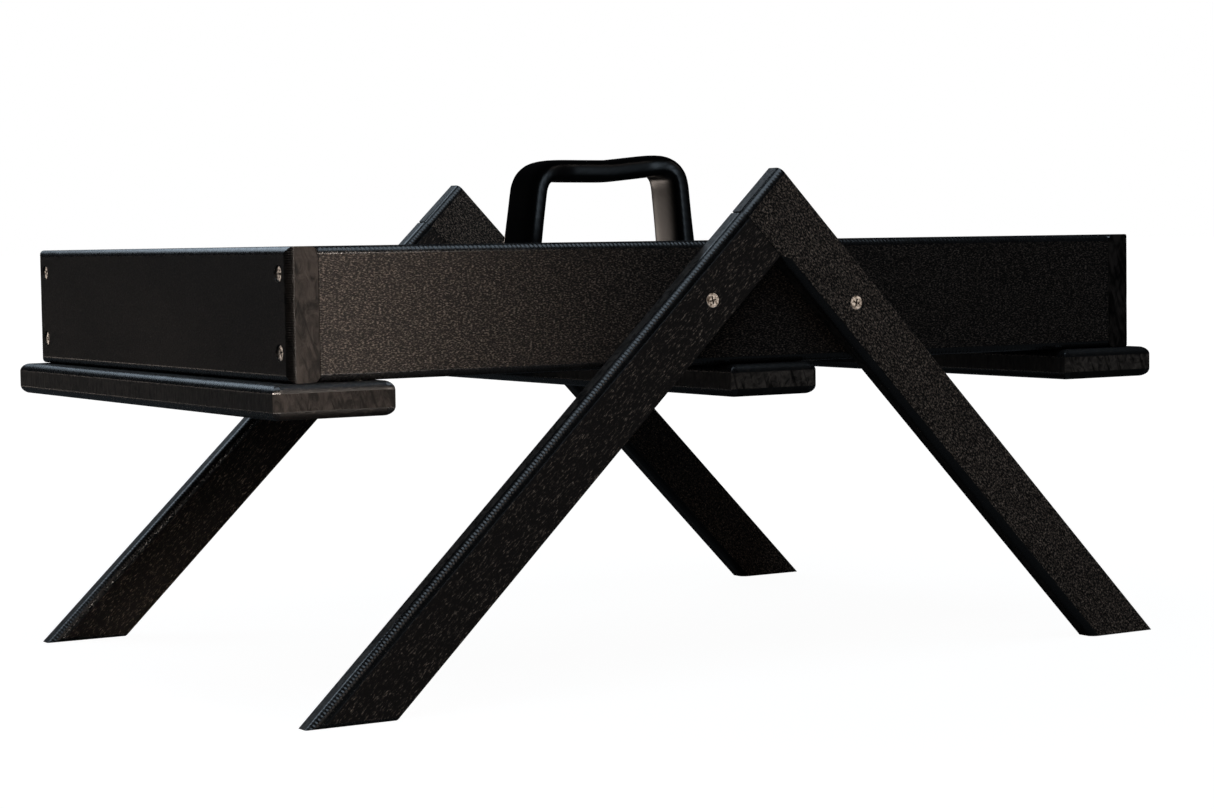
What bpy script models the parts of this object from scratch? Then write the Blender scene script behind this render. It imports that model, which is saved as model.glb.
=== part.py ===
"""Carry tray on A-frame legs, built from black plastic boards.

A shallow open box hangs between two A-frames. Each frame is a pair of flat legs butted
together at the apex, and each leg is screwed to the outside of a side board. Three slats
cross under the box, a thin floor panel lies on them, and a moulded handle stands on the
floor panel. X runs along the box, Y from its front to its rear, Z up. The origin is on
the ground under the middle of the box. All lengths are in metres.
"""
import bpy
import bmesh
from math import copysign, cos, pi, radians, sin, tan
from mathutils import Matrix, Vector

# ---- driving dimensions -------------------------------------------------------------
GAP = 0.0003                  # clearance left between pieces that touch

BOX_LENGTH = 0.627            # over the outer faces of the end boards
BOX_DEPTH = 0.3955            # over the outer faces of the side boards
BOX_BASE = 0.1931             # height of the box's lower edge above the ground
BOARD_HEIGHT = 0.0762
BOARD_THICK = 0.01905
BOARD_ROUND = 0.0045          # radius of the routed edges of the box boards
FLOOR_THICK = 0.00635
FLOOR_PLAY = 0.0006           # play between the floor panel and the boards around it

CENTRE_SHIFT = 0.0141         # apexes, handle and middle slat sit this far right of centre

SLAT_THICK = 0.0200
SLAT_WIDTH = 0.0762
SLAT_WIDTH_MIDDLE = 0.0641
MIDDLE_SLAT_BACK = 0.0015     # the middle slat is this much left of the apexes
SLAT_END_PROUD = 0.0130       # the outer slats stand out past the end boards
SLAT_SIDE_PROUD = 0.0052      # every slat stands out past the side boards
SLAT_ROUND = 0.0050

LEG_THICK = 0.0127
LEG_WIDTH = 0.0385
LEG_ROUND = 0.0045            # radius of the legs' routed edges
APEX_HEIGHT = 0.3132          # sharp tip of the right leg
LEG_SLOPE_LEFT = radians(43.75)
LEG_SLOPE_RIGHT = radians(45.65)
BAR_AHEAD = 0.6               # length of the raw bar a leg is cut from, below the apex
BAR_BEHIND = 0.1              # and above it

END_SCREW_INSET = 0.0125      # from the ends of an end board
END_SCREW_LOW = 0.0167        # above the box's lower edge
END_SCREW_HIGH = 0.0610
LEG_SCREW_LEFT = (-0.0374, 0.2329)     # X and Z
LEG_SCREW_RIGHT = (0.0714, 0.2288)
APEX_SCREW_DOWN = 0.0210      # from the tip, along the right leg's outer edge
SLAT_SCREW_Y = 0.110          # screws from the outer slats into the end boards
SLAT_SCREW_X = 0.266          # and into the side boards
MIDDLE_SLAT_SCREW = 0.016     # either side of the middle slat's middle line
FLOOR_SCREW_X = 0.272
FLOOR_SCREW_Y = 0.120

HANDLE_DEPTH_FOOT = 0.0355
HANDLE_DEPTH_GRIP = 0.028
HANDLE_THICK_FOOT = 0.0195
HANDLE_THICK_NECK = 0.0145
HANDLE_THICK_GRIP = 0.0152
HANDLE_LEFT = (-0.0543, 0.3174)   # left shoulder from the handle's middle, and height
HANDLE_RIGHT = (0.0552, 0.3224)   # right shoulder, which stands a little higher
HANDLE_MIDDLE = (0.0022, 0.3172)  # the grip sags here
HANDLE_LEFT_FOOT = -0.0725
HANDLE_RIGHT_FOOT = 0.0680
FOOT_SPARE = 0.004            # extra length below each foot, cut off level with the floor
HANDLE_BEND = 0.014           # radius of the handle's two shoulders, on its middle line
HANDLE_CLIMB = 0.095          # a leg tapers over this height
GRIP_HALF = 0.030             # half the grip's even length
GRIP_FADE = 0.022             # over which the grip blends into the shoulders
HANDLE_RINGS = 57
HANDLE_SIDES = 20
HANDLE_SQUARENESS = 3.6       # superellipse exponent of the handle's section
HANDLE_SCREW_SHIFT = 0.001    # the handle's screws lean this far in from its feet

HEAD_RIM = 0.0003             # straight rim above a countersunk head's cone
CROSS_REACH = 0.55            # length of the cross recess's arms, as a share of the head
CROSS_HALF = 0.0006           # half the width of an arm
CROSS_DEPTH = 0.0016
END_SCREW_SINK = 0.0010       # how deep each kind of screw sits below its surface
LEG_SCREW_SINK = 0.0003
APEX_SCREW_SINK = 0.0024
SLAT_SCREW_SINK = 0.0005
FLOOR_SCREW_SINK = 0.0003
WOOD_SCREW = {"head": 0.0047, "shank": 0.0024, "cone": 0.0026, "tip": 0.0050}
SMALL_SCREW = {"head": 0.0040, "shank": 0.0020, "cone": 0.0022, "tip": 0.0040}
HANDLE_SCREW = {"head": 0.0055, "shank": 0.0030, "cone": 0.0, "tip": 0.0}
END_SCREW_LENGTH = 0.0381
LEG_SCREW_LENGTH = 0.0270
APEX_SCREW_LENGTH = 0.0660
SLAT_SCREW_LENGTH = 0.0360
FLOOR_SCREW_LENGTH = 0.0190
HANDLE_SCREW_LENGTH = 0.0220
HANDLE_SCREW_HEAD_HEIGHT = 0.0032
TURNED_SIDES = 12
CUT_OVER = 0.001              # cutters stand this far out of what they cut
EASED_EDGE = 0.0008           # the floor panel's upper edges

# ---- sizes that follow --------------------------------------------------------------
BOX_TOP = BOX_BASE + BOARD_HEIGHT
HALF_LENGTH = BOX_LENGTH / 2
HALF_DEPTH = BOX_DEPTH / 2
SLAT_TOP = BOX_BASE - GAP
SLAT_BASE = SLAT_TOP - SLAT_THICK
FLOOR_BASE = BOX_BASE
FLOOR_TOP = FLOOR_BASE + FLOOR_THICK
LEG_BACK = HALF_DEPTH + GAP
LEG_FACE = LEG_BACK + LEG_THICK
SLAT_MIDDLE_X = CENTRE_SHIFT - MIDDLE_SLAT_BACK
Y_AXIS = Vector((0, 1, 0))


# ---- scene and materials ------------------------------------------------------------
for old in list(bpy.data.objects):
    bpy.data.objects.remove(old, do_unlink=True)

parts = bpy.data.collections.new("carry_tray")
cutters = bpy.data.collections.new("cutters")
bpy.context.scene.collection.children.link(parts)
bpy.context.scene.collection.children.link(cutters)


def material(name, colour, roughness, metallic=0.0):
    made = bpy.data.materials.new(name)
    made.use_nodes = True
    shader = made.node_tree.nodes["Principled BSDF"]
    shader.inputs["Base Color"].default_value = (*colour, 1.0)
    shader.inputs["Roughness"].default_value = roughness
    shader.inputs["Metallic"].default_value = metallic
    made.diffuse_color = (*colour, 1.0)
    return made


BOARD = material("hdpe_board", (0.022, 0.020, 0.019), 0.5)
HANDLE = material("handle_plastic", (0.012, 0.012, 0.012), 0.35)
STEEL = material("stainless_screw", (0.62, 0.60, 0.57), 0.3, 1.0)


# ---- building helpers ---------------------------------------------------------------
def add_object(name, mesh, look=None):
    """Put a mesh in the scene: a part when it has a material, otherwise a cutter."""
    made = bpy.data.objects.new(name, mesh)
    if look is None:
        cutters.objects.link(made)
        made.hide_render = True
        made.display_type = "WIRE"
    else:
        parts.objects.link(made)
        mesh.materials.clear()
        mesh.materials.append(look)
    return made


def evaluated(source):
    """The mesh an object has once its modifiers are applied."""
    graph = bpy.context.evaluated_depsgraph_get()
    return bpy.data.meshes.new_from_object(source.evaluated_get(graph))


def cut(target, cutter):
    step = target.modifiers.new("cut_" + cutter.name, "BOOLEAN")
    step.operation = "DIFFERENCE"
    step.solver = "EXACT"
    step.object = cutter


def shade(target, angle=35):
    target.data.shade_smooth()
    target.data.set_sharp_from_angle(angle=radians(angle))


def box(low, high):
    """A bmesh box between two corners."""
    low, high = Vector(low), Vector(high)
    made = bmesh.new()
    bmesh.ops.create_cube(made, size=1.0)
    bmesh.ops.scale(made, vec=high - low, verts=made.verts)
    bmesh.ops.translate(made, vec=(low + high) / 2, verts=made.verts)
    return made


def trim(solid, point, normal):
    """Cut away everything on the normal's side of a plane, and close the cut."""
    geometry = solid.verts[:] + solid.edges[:] + solid.faces[:]
    sliced = bmesh.ops.bisect_plane(
        solid, geom=geometry, dist=1e-7, plane_co=point, plane_no=normal, clear_outer=True
    )
    rim = [e for e in sliced["geom_cut"] if isinstance(e, bmesh.types.BMEdge)]
    bmesh.ops.edgeloop_fill(solid, edges=rim)
    bmesh.ops.recalc_face_normals(solid, faces=solid.faces)


def routed(name, solid, radius, wanted, steps=4):
    """A board part whose edges that wanted() picks are rounded over."""
    weight = solid.edges.layers.float.new("bevel_weight_edge")
    for edge in solid.edges:
        ends = [vert.co for vert in edge.verts]
        edge[weight] = 1.0 if wanted(ends[0], ends[1]) else 0.0
    mesh = bpy.data.meshes.new(name)
    solid.to_mesh(mesh)
    solid.free()
    made = add_object(name, mesh, BOARD)
    rounding = made.modifiers.new("round_over", "BEVEL")
    rounding.limit_method = "WEIGHT"
    rounding.width = radius
    rounding.segments = steps
    rounding.use_clamp_overlap = False
    return made


def turned(name, profile, sides=TURNED_SIDES):
    """A closed solid turned about Z; the profile is (radius, height), top to bottom."""
    mesh = bpy.data.meshes.new(name)
    points = [(radius, 0.0, height) for radius, height in profile]
    mesh.from_pydata(points, [(i, i + 1) for i in range(len(points) - 1)], [])
    made = add_object(name, mesh)
    spin = made.modifiers.new("turn", "SCREW")
    spin.steps = sides
    spin.render_steps = sides
    spin.use_merge_vertices = True
    spin.merge_threshold = 1e-6
    return made


def screw_master(name, kind, length):
    """A countersunk cross-head screw, head face at Z = 0 and shank down -Z."""
    head, shank = kind["head"], kind["shank"]
    if kind["cone"]:
        profile = [(0, 0), (head, 0), (head, -HEAD_RIM), (shank, -kind["cone"])]
        profile += [(shank, kind["tip"] - length), (0, -length)]
    else:
        top = HANDLE_SCREW_HEAD_HEIGHT
        profile = [(0, top), (0.7 * head, top), (head, 0.5 * top), (head, 0), (shank, 0)]
        profile += [(shank, -length), (0, -length)]
    made = turned(name, profile)
    top = 0.0 if kind["cone"] else HANDLE_SCREW_HEAD_HEIGHT
    reach = CROSS_REACH * head
    for index, turn in enumerate((0, 90)):
        slot = box((-reach, -CROSS_HALF, top - CROSS_DEPTH), (reach, CROSS_HALF, top + CUT_OVER))
        bmesh.ops.rotate(slot, verts=slot.verts, matrix=Matrix.Rotation(radians(turn), 3, "Z"))
        mesh = bpy.data.meshes.new(f"{name}_slot_{index}")
        slot.to_mesh(mesh)
        slot.free()
        cut(made, add_object(mesh.name, mesh))
    return evaluated(made)


def screw_hole(name, kind, length, sink):
    """The hole for a countersunk screw whose head face lies sink below the surface."""
    slope = (kind["head"] - kind["shank"]) / (kind["cone"] - HEAD_RIM)
    wide = kind["head"] + slope * HEAD_RIM + 1.4 * GAP
    narrow = kind["shank"] + GAP
    mouth = wide + slope * (sink + CUT_OVER)
    end = -length - sink - 2 * GAP
    profile = [(0, CUT_OVER), (mouth, CUT_OVER), (narrow, CUT_OVER - (mouth - narrow) / slope)]
    profile += [(narrow, end), (0, end)]
    return evaluated(turned(name, profile))


def placed(point, direction):
    """The matrix that puts a screw's head at a point and drives it in a direction."""
    aim = (-Vector(direction)).to_track_quat("Z", "Y").to_matrix().to_4x4()
    return Matrix.Translation(point) @ aim


def hole_group(name, master, places):
    """One cutter that holds a copy of a hole at each (head point, driving direction)."""
    together = bmesh.new()
    for point, direction in places:
        before = len(together.verts)
        together.from_mesh(master)
        together.verts.ensure_lookup_table()
        copy = together.verts[before:]
        bmesh.ops.transform(together, matrix=placed(point, direction), verts=copy)
    mesh = bpy.data.meshes.new(name)
    together.to_mesh(mesh)
    together.free()
    return add_object(name, mesh)


def screws(name, master, places):
    """One part for each screw; they share one mesh."""
    for index, (point, direction) in enumerate(places, start=1):
        label = name if len(places) == 1 else f"{name}_{index}"
        made = add_object(label, master, STEEL)
        made.matrix_world = placed(point, direction)
    shade(made, 30)


def fasten(name, kind, length, sink, places, boards):
    """Drive screws through boards: each screw is a part, and its hole cuts the boards."""
    holes = hole_group(name + "_holes", screw_hole(name + "_hole", kind, length, sink), places)
    for board in boards:
        cut(board, holes)
    sunk = [(Vector(point) + sink * Vector(way).normalized(), way) for point, way in places]
    screws(name, screw_master(name + "_master", kind, length), sunk)


# ---- the box ------------------------------------------------------------------------
def along(axis):
    """Pick edges that run along one axis."""
    return lambda a, b: abs((a - b).normalized()[axis]) > 0.999


def side_board(name, side):
    """A long board between the end boards; side is -1 at the front, +1 at the rear."""
    reach = HALF_LENGTH - BOARD_THICK - GAP
    outer, inner = side * HALF_DEPTH, side * (HALF_DEPTH - BOARD_THICK)
    low = (-reach, min(outer, inner), BOX_BASE)
    high = (reach, max(outer, inner), BOX_TOP)
    return routed(name, box(low, high), BOARD_ROUND, along(0))


def end_board(name, side):
    """A short board that caps the side boards; side is -1 at the left, +1 at the right."""
    outer, inner = side * HALF_LENGTH, side * (HALF_LENGTH - BOARD_THICK)
    low = (min(outer, inner), -HALF_DEPTH, BOX_BASE)
    high = (max(outer, inner), HALF_DEPTH, BOX_TOP)
    long_edge = along(1)

    def wanted(a, b):
        upright_outside = along(2)(a, b) and abs(a.x - outer) < 1e-6
        return long_edge(a, b) or upright_outside

    return routed(name, box(low, high), BOARD_ROUND, wanted)


def slat(name, middle, width):
    """A board that crosses under the box, rounded over all the way round."""
    reach = HALF_DEPTH + SLAT_SIDE_PROUD
    low = (middle - width / 2, -reach, SLAT_BASE)
    high = (middle + width / 2, reach, SLAT_TOP)
    return routed(name, box(low, high), SLAT_ROUND, lambda a, b: abs(a.z - b.z) < 1e-6)


def floor_panel():
    reach_x = HALF_LENGTH - BOARD_THICK - FLOOR_PLAY
    reach_y = HALF_DEPTH - BOARD_THICK - FLOOR_PLAY
    solid = box((-reach_x, -reach_y, FLOOR_BASE), (reach_x, reach_y, FLOOR_TOP))

    def upper(a, b):
        return min(a.z, b.z) > FLOOR_TOP - 1e-6

    return routed("floor_panel", solid, EASED_EDGE, upper, 2)


# ---- the legs -----------------------------------------------------------------------
APEX = Vector((CENTRE_SHIFT, 0, APEX_HEIGHT))
LEFT_WAY = Vector((-cos(LEG_SLOPE_LEFT), 0, -sin(LEG_SLOPE_LEFT)))     # down the left leg
RIGHT_WAY = Vector((cos(LEG_SLOPE_RIGHT), 0, -sin(LEG_SLOPE_RIGHT)))   # down the right leg
LEFT_OUT = Vector((-sin(LEG_SLOPE_LEFT), 0, cos(LEG_SLOPE_LEFT)))      # out of its upper edge
RIGHT_OUT = Vector((sin(LEG_SLOPE_RIGHT), 0, cos(LEG_SLOPE_RIGHT)))


def bar(way, out, side):
    """A long bar whose upper edge runs through the apex, down the given way."""
    thick = sorted((side * LEG_BACK, side * LEG_FACE))
    solid = box((-BAR_BEHIND, thick[0], -LEG_WIDTH), (BAR_AHEAD, thick[1], 0.0))
    turn = Matrix((way, Y_AXIS, out)).transposed()
    if turn.determinant() < 0:
        bmesh.ops.reverse_faces(solid, faces=solid.faces)
    bmesh.ops.transform(solid, matrix=Matrix.Translation(APEX) @ turn.to_4x4(), verts=solid.verts)
    bmesh.ops.recalc_face_normals(solid, faces=solid.faces)
    trim(solid, (0, 0, 0), (0, 0, -1))
    return solid


def on_plane(points, through, normal):
    return all(abs((point - through).dot(normal)) < 1e-6 for point in points)


def front_face(side):
    """A point on the face of a leg that looks to the front.

    The two frames are alike and stand the same way round, so both are routed on it.
    """
    return min(side * LEG_BACK, side * LEG_FACE) * Y_AXIS


def right_leg(name, side):
    """It runs up to the left leg's upper edge line; its cut end makes the apex tip.

    The tip is rounded over, and so is the lower edge below the joint with the left leg.
    """
    solid = bar(RIGHT_WAY, RIGHT_OUT, side)
    trim(solid, APEX, LEFT_OUT)
    joint_end = APEX - LEG_WIDTH * LEFT_OUT + (LEG_ROUND / 2) * RIGHT_WAY
    geometry = solid.verts[:] + solid.edges[:] + solid.faces[:]
    bmesh.ops.bisect_plane(
        solid, geom=geometry, dist=1e-7, plane_co=joint_end, plane_no=RIGHT_WAY
    )

    def wanted(a, b):
        if not on_plane((a, b), front_face(side), Y_AXIS):
            return False
        lower = on_plane((a, b), APEX - LEG_WIDTH * RIGHT_OUT, RIGHT_OUT)
        free = min((a - joint_end).dot(RIGHT_WAY), (b - joint_end).dot(RIGHT_WAY)) > -1e-6
        return (lower and free) or on_plane((a, b), APEX, LEFT_OUT)

    return routed(name, solid, LEG_ROUND, wanted)


def left_leg(name, side):
    """Its square-cut end butts on the right leg's lower edge; its upper edge is rounded."""
    solid = bar(LEFT_WAY, LEFT_OUT, side)
    trim(solid, APEX - (LEG_WIDTH + GAP) * RIGHT_OUT, RIGHT_OUT)

    def wanted(a, b):
        routed_side = on_plane((a, b), front_face(side), Y_AXIS)
        return routed_side and on_plane((a, b), APEX, LEFT_OUT)

    return routed(name, solid, LEG_ROUND, wanted)


# ---- the handle ---------------------------------------------------------------------
def filleted(corners, radius, step):
    """Points along straight runs whose corners are rounded; the fillets are arcs."""
    path = [corners[0]]
    for before, corner, after in zip(corners, corners[1:], corners[2:]):
        come, leave = (before - corner).normalized(), (after - corner).normalized()
        half = come.angle(leave) / 2
        centre = corner + (come + leave).normalized() * radius / sin(half)
        start = corner + come * radius / tan(half) - centre
        end = corner + leave * radius / tan(half) - centre
        swing = copysign(start.angle(end), start.x * end.y - start.y * end.x)
        count = max(2, round(abs(swing) * radius / step))
        for index in range(count + 1):
            path.append(centre + Matrix.Rotation(swing * index / count, 2) @ start)
    path.append(corners[-1])
    return path


def evenly(path, count):
    """The same path as evenly spaced points."""
    lengths = [(b - a).length for a, b in zip(path, path[1:])]
    total = sum(lengths)
    points = []
    for index in range(count):
        goal = total * index / (count - 1)
        for a, b, length in zip(path, path[1:], lengths):
            if goal <= length + 1e-12:
                points.append(a.lerp(b, goal / length if length else 0.0))
                break
            goal -= length
    return points


def blend(share):
    """A smooth step from 0 to 1."""
    share = min(1.0, max(0.0, share))
    return share * share * (3 - 2 * share)


def carry_handle():
    """A moulded arch: two legs that lean together, round shoulders and a finger grip."""
    base = FLOOR_TOP + GAP
    corners = [
        (HANDLE_LEFT_FOOT, base - FOOT_SPARE), HANDLE_LEFT, HANDLE_MIDDLE, HANDLE_RIGHT,
        (HANDLE_RIGHT_FOOT, base - FOOT_SPARE),
    ]
    corners = [Vector((CENTRE_SHIFT + x, z)) for x, z in corners]
    rough = filleted(corners, HANDLE_BEND, 0.002)
    path = evenly(rough, HANDLE_RINGS)
    squash = 2 / HANDLE_SQUARENESS
    solid = bmesh.new()
    rings = []
    for index, point in enumerate(path):
        before, after = path[max(0, index - 1)], path[min(len(path) - 1, index + 1)]
        way = (after - before).normalized()
        out = Vector((-way.y, way.x))
        climb = blend((point.y - base) / HANDLE_CLIMB)
        near_grip = 1 - blend((abs(point.x - corners[2].x) - GRIP_HALF) / GRIP_FADE)
        thick = HANDLE_THICK_FOOT + (HANDLE_THICK_NECK - HANDLE_THICK_FOOT) * climb
        thick += (HANDLE_THICK_GRIP - HANDLE_THICK_NECK) * near_grip
        deep = HANDLE_DEPTH_FOOT + (HANDLE_DEPTH_GRIP - HANDLE_DEPTH_FOOT) * climb * near_grip
        ring = []
        for corner in range(HANDLE_SIDES):
            angle = 2 * pi * (corner + 0.5) / HANDLE_SIDES
            across = copysign(abs(cos(angle)) ** squash, cos(angle)) * thick / 2
            depth = copysign(abs(sin(angle)) ** squash, sin(angle)) * deep / 2
            spot = point + out * across
            ring.append(solid.verts.new((spot.x, depth, spot.y)))
        rings.append(ring)
    for one, two in zip(rings, rings[1:]):
        for corner in range(HANDLE_SIDES):
            after = (corner + 1) % HANDLE_SIDES
            solid.faces.new((one[corner], one[after], two[after], two[corner]))
    solid.faces.new(rings[0])
    solid.faces.new(rings[-1])
    bmesh.ops.recalc_face_normals(solid, faces=solid.faces)
    trim(solid, (0, 0, base), (0, 0, -1))
    mesh = bpy.data.meshes.new("carry_handle")
    solid.to_mesh(mesh)
    solid.free()
    made = add_object("carry_handle", mesh, HANDLE)
    shade(made, 50)
    return made


# ---- assembly -----------------------------------------------------------------------
side_front = side_board("side_board_front", -1)
side_rear = side_board("side_board_rear", 1)
end_left = end_board("end_board_left", -1)
end_right = end_board("end_board_right", 1)
floor = floor_panel()
OUTER_SLAT_X = HALF_LENGTH + SLAT_END_PROUD - SLAT_WIDTH / 2
slats = {
    "left": slat("slat_left", -OUTER_SLAT_X, SLAT_WIDTH),
    "middle": slat("slat_middle", SLAT_MIDDLE_X, SLAT_WIDTH_MIDDLE),
    "right": slat("slat_right", OUTER_SLAT_X, SLAT_WIDTH),
}
handle = carry_handle()

# End boards: four screws each, into the ends of the side boards.
for label, side, board in (("left", -1, end_left), ("right", 1, end_right)):
    spots = [
        (side * HALF_LENGTH, way * (HALF_DEPTH - END_SCREW_INSET), BOX_BASE + height)
        for way in (-1, 1)
        for height in (END_SCREW_LOW, END_SCREW_HIGH)
    ]
    places = [(spot, (-side, 0, 0)) for spot in spots]
    boards = [board, side_front, side_rear]
    fasten(f"end_screw_{label}", WOOD_SCREW, END_SCREW_LENGTH, END_SCREW_SINK, places, boards)

# Legs: one screw each into the side board, and one down through the apex joint.
for label, side, board in (("front", -1, side_front), ("rear", 1, side_rear)):
    left = left_leg(f"leg_{label}_left", side)
    right = right_leg(f"leg_{label}_right", side)
    places = [
        ((x, side * LEG_FACE, z), (0, -side, 0)) for x, z in (LEG_SCREW_LEFT, LEG_SCREW_RIGHT)
    ]
    boards = [left, right, board]
    fasten(f"leg_screw_{label}", WOOD_SCREW, LEG_SCREW_LENGTH, LEG_SCREW_SINK, places, boards)
    point = APEX + APEX_SCREW_DOWN * RIGHT_WAY + side * (LEG_BACK + LEG_THICK / 2) * Y_AXIS
    places, boards = [(point, -RIGHT_OUT)], [left, right]
    fasten(f"apex_screw_{label}", WOOD_SCREW, APEX_SCREW_LENGTH, APEX_SCREW_SINK, places, boards)

# Slats: screwed up into the boards above them.
END_MIDDLE = HALF_LENGTH - BOARD_THICK / 2
SIDE_MIDDLE = HALF_DEPTH - BOARD_THICK / 2
slat_spots = {
    "middle": [
        (SLAT_MIDDLE_X + shift, way * SIDE_MIDDLE)
        for shift in (-MIDDLE_SLAT_SCREW, MIDDLE_SLAT_SCREW)
        for way in (-1, 1)
    ]
}
for label, side in (("left", -1), ("right", 1)):
    slat_spots[label] = [(side * END_MIDDLE, way * SLAT_SCREW_Y) for way in (-1, 1)]
    slat_spots[label] += [(side * SLAT_SCREW_X, way * SIDE_MIDDLE) for way in (-1, 1)]
slat_boards = {
    "left": [end_left, side_front, side_rear],
    "right": [end_right, side_front, side_rear],
    "middle": [side_front, side_rear],
}
for label, spots in slat_spots.items():
    places = [((x, y, SLAT_BASE), (0, 0, 1)) for x, y in spots]
    boards = [slats[label], *slat_boards[label]]
    fasten(f"slat_screw_{label}", WOOD_SCREW, SLAT_SCREW_LENGTH, SLAT_SCREW_SINK, places, boards)

# Floor panel: two screws down into each slat.
places = [
    ((x, y, FLOOR_TOP), (0, 0, -1))
    for x in (-FLOOR_SCREW_X, SLAT_MIDDLE_X, FLOOR_SCREW_X)
    for y in (-FLOOR_SCREW_Y, FLOOR_SCREW_Y)
]
boards = [floor, *slats.values()]
fasten("floor_screw", SMALL_SCREW, FLOOR_SCREW_LENGTH, FLOOR_SCREW_SINK, places, boards)

# Handle: one round-headed screw up through the floor panel into each foot.
shaft = HANDLE_SCREW["shank"] + GAP
end = -HANDLE_SCREW_LENGTH - GAP
bore = [(0, 2 * CUT_OVER), (shaft, 2 * CUT_OVER), (shaft, end), (0, end)]
places = [
    ((CENTRE_SHIFT + foot + shift, 0, FLOOR_BASE - GAP), (0, 0, 1))
    for foot, shift in (
        (HANDLE_LEFT_FOOT, HANDLE_SCREW_SHIFT), (HANDLE_RIGHT_FOOT, -HANDLE_SCREW_SHIFT)
    )
]
bores = hole_group("handle_screw_holes", evaluated(turned("handle_screw_hole", bore)), places)
cut(floor, bores)
cut(handle, bores)
screws("handle_screw", screw_master("handle_screw_master", HANDLE_SCREW, HANDLE_SCREW_LENGTH), places)

for made in parts.objects:
    if made.data.materials[0] is BOARD:
        shade(made)
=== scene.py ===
"""Looks of the carry tray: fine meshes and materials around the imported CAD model.

Every board is swept again from the outline of its section, in slices fine enough that the
cutter marks on its routed edges are real ripples in the mesh. Its faces are sorted into
sheet face, routed edge, sawn edge, scraped rim and end grain, each with its own material.
Corners rounded across a board's end, and the holes for the screws, are cut from it.
Lengths are in metres. A piece takes its place and reach from the CAD node it stands for,
and the legs' tip, slopes and width are repeated here.
"""
import math

import bmesh
import bpy
from mathutils import Matrix, Vector
from mathutils.noise import noise as draw_noise


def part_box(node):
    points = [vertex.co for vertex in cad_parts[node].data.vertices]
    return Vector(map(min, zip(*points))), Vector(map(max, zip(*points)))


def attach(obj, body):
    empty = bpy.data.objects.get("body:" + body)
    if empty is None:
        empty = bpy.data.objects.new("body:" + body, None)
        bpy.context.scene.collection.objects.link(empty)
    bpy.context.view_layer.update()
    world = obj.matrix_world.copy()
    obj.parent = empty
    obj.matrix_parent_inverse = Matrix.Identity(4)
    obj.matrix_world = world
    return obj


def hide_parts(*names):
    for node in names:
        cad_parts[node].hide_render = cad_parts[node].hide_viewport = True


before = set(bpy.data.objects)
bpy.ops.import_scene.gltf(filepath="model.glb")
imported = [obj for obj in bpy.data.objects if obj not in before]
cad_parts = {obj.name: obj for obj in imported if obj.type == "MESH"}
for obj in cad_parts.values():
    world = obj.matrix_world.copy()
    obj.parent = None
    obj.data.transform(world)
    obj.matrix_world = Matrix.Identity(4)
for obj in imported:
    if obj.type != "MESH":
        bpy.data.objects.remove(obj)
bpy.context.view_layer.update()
X_AXIS, Y_AXIS, Z_AXIS = Vector((1, 0, 0)), Vector((0, 1, 0)), Vector((0, 0, 1))

# ---- camera -------------------------------------------------------------------------
CAMERA_AT = Vector((-0.9414, -1.5378, 0.2681))
CAMERA_YAW = 0.5574           # to the right of +Y
CAMERA_PITCH = -0.0606        # above the horizon
CAMERA_ROLL = -0.0152
CAMERA_LENS = 78.6            # mm, on a 36 mm sensor


def add_camera():
    """The camera that the photograph was taken with, as fitted to its edges."""
    yaw, pitch, roll = CAMERA_YAW, CAMERA_PITCH, CAMERA_ROLL
    look = Vector((
        math.sin(yaw) * math.cos(pitch), math.cos(yaw) * math.cos(pitch), math.sin(pitch)
    ))
    level = Vector((math.cos(yaw), -math.sin(yaw), 0))
    up = level.cross(look)
    right = level * math.cos(roll) + up * math.sin(roll)
    up = up * math.cos(roll) - level * math.sin(roll)
    data = bpy.data.cameras.new("camera")
    data.sensor_width = 36
    data.lens = CAMERA_LENS
    camera = bpy.data.objects.new("camera", data)
    bpy.context.scene.collection.objects.link(camera)
    turned = Matrix((right, up, -look)).transposed().to_4x4()
    camera.matrix_world = Matrix.Translation(CAMERA_AT) @ turned
    bpy.context.scene.camera = camera


add_camera()

# ---- stage --------------------------------------------------------------------------
FLOOR_SIZE = 400.0
FLOOR_GREY = 0.12
BRIGHT_NEAR, BRIGHT_FAR = 0.97, 1.05    # the floor's own glow to the camera
BRIGHT_START, BRIGHT_REACH = 0.4, 3.0   # how far out the glow starts to grow, and is full
ROOM_GLOW, ROOM_TINT = 0.012, (0.80, 0.88, 1.0)
WARM, COOL = (1.0, 0.86, 0.76), (0.70, 0.85, 1.0)


def new_material(name, colour, roughness, specular=0.5):
    """A material with its node tree and its shader."""
    look = bpy.data.materials.new(name)
    look.use_nodes = True
    shader = look.node_tree.nodes["Principled BSDF"]
    shader.inputs["Base Color"].default_value = (*colour, 1)
    shader.inputs["Roughness"].default_value = roughness
    shader.inputs["Specular IOR Level"].default_value = specular
    return look, look.node_tree, shader


def math_node(tree, operation, first, second):
    """A math node; each entry is a number or a (node, output) pair."""
    made = tree.nodes.new("ShaderNodeMath")
    made.operation = operation
    for entry, value in zip(made.inputs, (first, second)):
        if isinstance(value, tuple):
            tree.links.new(value[0].outputs[value[1]], entry)
        else:
            entry.default_value = value
    return made


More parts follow.
